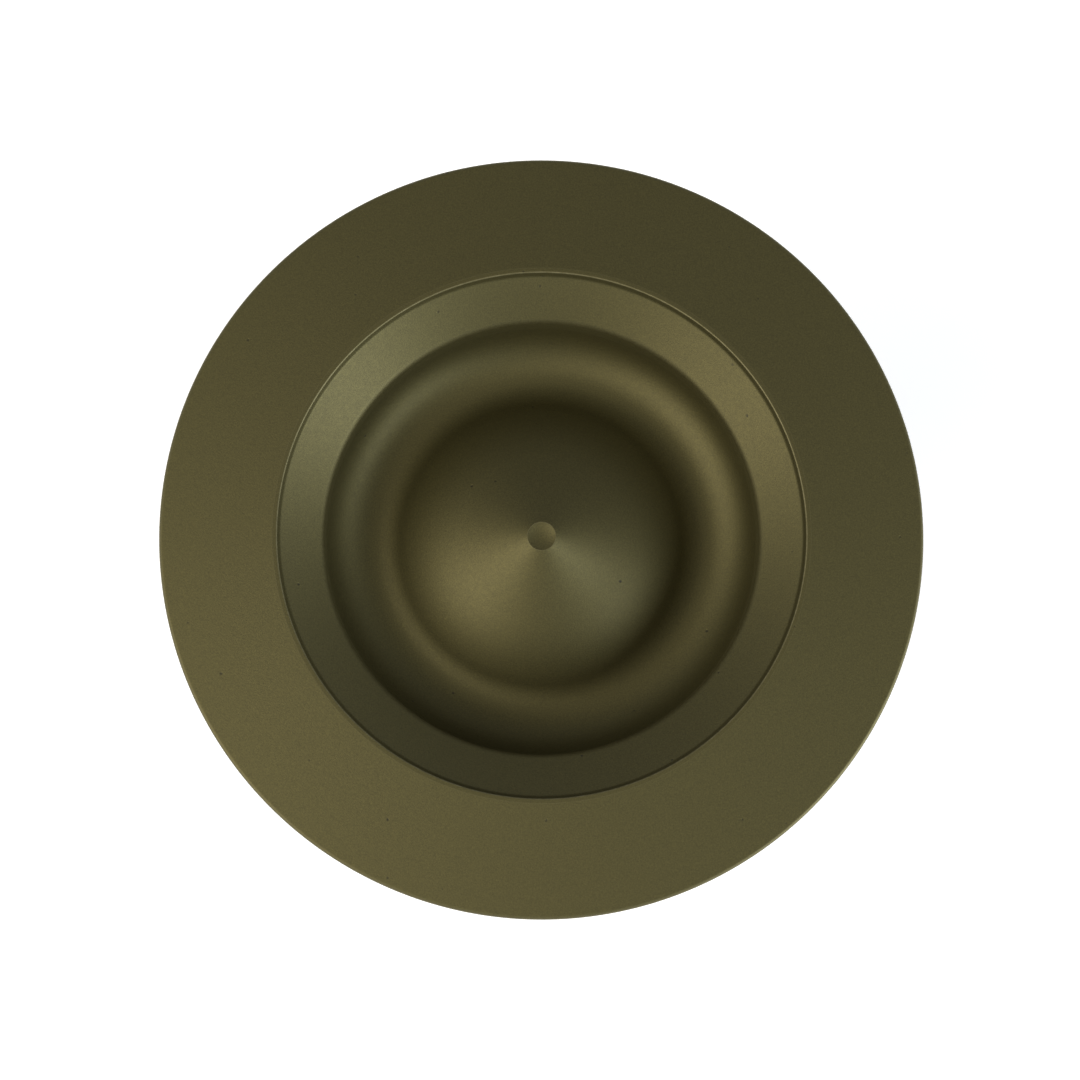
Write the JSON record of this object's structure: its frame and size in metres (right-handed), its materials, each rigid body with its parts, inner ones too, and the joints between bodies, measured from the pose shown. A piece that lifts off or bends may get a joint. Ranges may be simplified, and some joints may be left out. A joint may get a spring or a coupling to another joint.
{
  "type": "yo-yo",
  "caption": "Turned aluminium yo-yo: two flared halves with a stepped rim and a cone-hubbed cup, screwed together on an axle round a shielded ball bearing in the string gap.",
  "frame": {"origin": "centre of the bottom of the bounding box, on the axle's line, in the plane the rear face rests on", "axes": "+Z along the axle from the rear half to the front half; X and Y across the discs, with the snap rings' openings towards +X"},
  "size_m": [0.056, 0.056, 0.041],
  "materials": {
    "olive_anodised": "bead-blasted and anodised, satin",
    "silicone": "matte cast silicone",
    "axle_steel": "thread-rolled stainless steel",
    "bearing_steel": "ground and polished stainless steel",
    "cage_steel": "pressed stainless steel",
    "shield_steel": "pressed sheet, satin",
    "spring_steel": "drawn spring wire"
  },
  "bodies": {
    "rear": {"rear_half": "olive_anodised", "rear_response_pad": "silicone", "axle": "axle_steel"},
    "race": {"bearing_inner_race": "bearing_steel"},
    "front": {"front_half": "olive_anodised", "front_response_pad": "silicone"},
    "outer_race": {"bearing_outer_race": "bearing_steel", "front_shield": "shield_steel", "rear_shield": "shield_steel", "front_snap_ring": "spring_steel", "rear_snap_ring": "spring_steel"},
    "cage": {"bearing_cage": "cage_steel"},
    "ball_1": {"bearing_ball_1": "bearing_steel"},
    "ball_2": {"bearing_ball_2": "bearing_steel"},
    "ball_3": {"bearing_ball_3": "bearing_steel"},
    "ball_4": {"bearing_ball_4": "bearing_steel"},
    "ball_5": {"bearing_ball_5": "bearing_steel"},
    "ball_6": {"bearing_ball_6": "bearing_steel"},
    "ball_7": {"bearing_ball_7": "bearing_steel"},
    "ball_8": {"bearing_ball_8": "bearing_steel"}
  },
  "joints": [
    {"name": "front_half_unscrew", "type": "hinge", "parent": "rear", "child": "race", "pos_m": [0, 0, 0.0205], "axis": [0, 0, 1], "range_deg": [0, 5040]},
    {"name": "front_half_lift", "type": "slide", "parent": "race", "child": "front", "axis": [0, 0, 1], "range_m": [0, 0.0098]},
    {"name": "bearing_spin", "type": "hinge", "parent": "race", "child": "outer_race", "pos_m": [0, 0, 0.0205], "axis": [0, 0, 1], "continuous": true},
    {"name": "cage_orbit", "type": "hinge", "parent": "race", "child": "cage", "pos_m": [0, 0, 0.0205], "axis": [0, 0, 1], "continuous": true},
    {"name": "ball_1_roll", "type": "hinge", "parent": "cage", "child": "ball_1", "pos_m": [0.00476, 0, 0.0205], "axis": [0, 0, 1], "continuous": true},
    {"name": "ball_2_roll", "type": "hinge", "parent": "cage", "child": "ball_2", "pos_m": [0.00337, 0.00337, 0.0205], "axis": [0, 0, 1], "continuous": true},
    {"name": "ball_3_roll", "type": "hinge", "parent": "cage", "child": "ball_3", "pos_m": [0, 0.00476, 0.0205], "axis": [0, 0, 1], "continuous": true},
    {"name": "ball_4_roll", "type": "hinge", "parent": "cage", "child": "ball_4", "pos_m": [-0.00337, 0.00337, 0.0205], "axis": [0, 0, 1], "continuous": true},
    {"name": "ball_5_roll", "type": "hinge", "parent": "cage", "child": "ball_5", "pos_m": [-0.00476, 0, 0.0205], "axis": [0, 0, 1], "continuous": true},
    {"name": "ball_6_roll", "type": "hinge", "parent": "cage", "child": "ball_6", "pos_m": [-0.00337, -0.00337, 0.0205], "axis": [0, 0, 1], "continuous": true},
    {"name": "ball_7_roll", "type": "hinge", "parent": "cage", "child": "ball_7", "pos_m": [0, -0.00476, 0.0205], "axis": [0, 0, 1], "continuous": true},
    {"name": "ball_8_roll", "type": "hinge", "parent": "cage", "child": "ball_8", "pos_m": [0.00337, -0.00337, 0.0205], "axis": [0, 0, 1], "continuous": true}
  ],
  "couplings": [
    {"joint": "front_half_lift", "follows": "front_half_unscrew", "m_per_rad": 0.00011141},
    {"joint": "cage_orbit", "follows": "bearing_spin", "ratio": 0.58333},
    {"joint": "ball_1_roll", "follows": "bearing_spin", "ratio": 2.9167},
    {"joint": "ball_2_roll", "follows": "bearing_spin", "ratio": 2.9167},
    {"joint": "ball_3_roll", "follows": "bearing_spin", "ratio": 2.9167},
    {"joint": "ball_4_roll", "follows": "bearing_spin", "ratio": 2.9167},
    {"joint": "ball_5_roll", "follows": "bearing_spin", "ratio": 2.9167},
    {"joint": "ball_6_roll", "follows": "bearing_spin", "ratio": 2.9167},
    {"joint": "ball_7_roll", "follows": "bearing_spin", "ratio": 2.9167},
    {"joint": "ball_8_roll", "follows": "bearing_spin", "ratio": 2.9167}
  ]
}
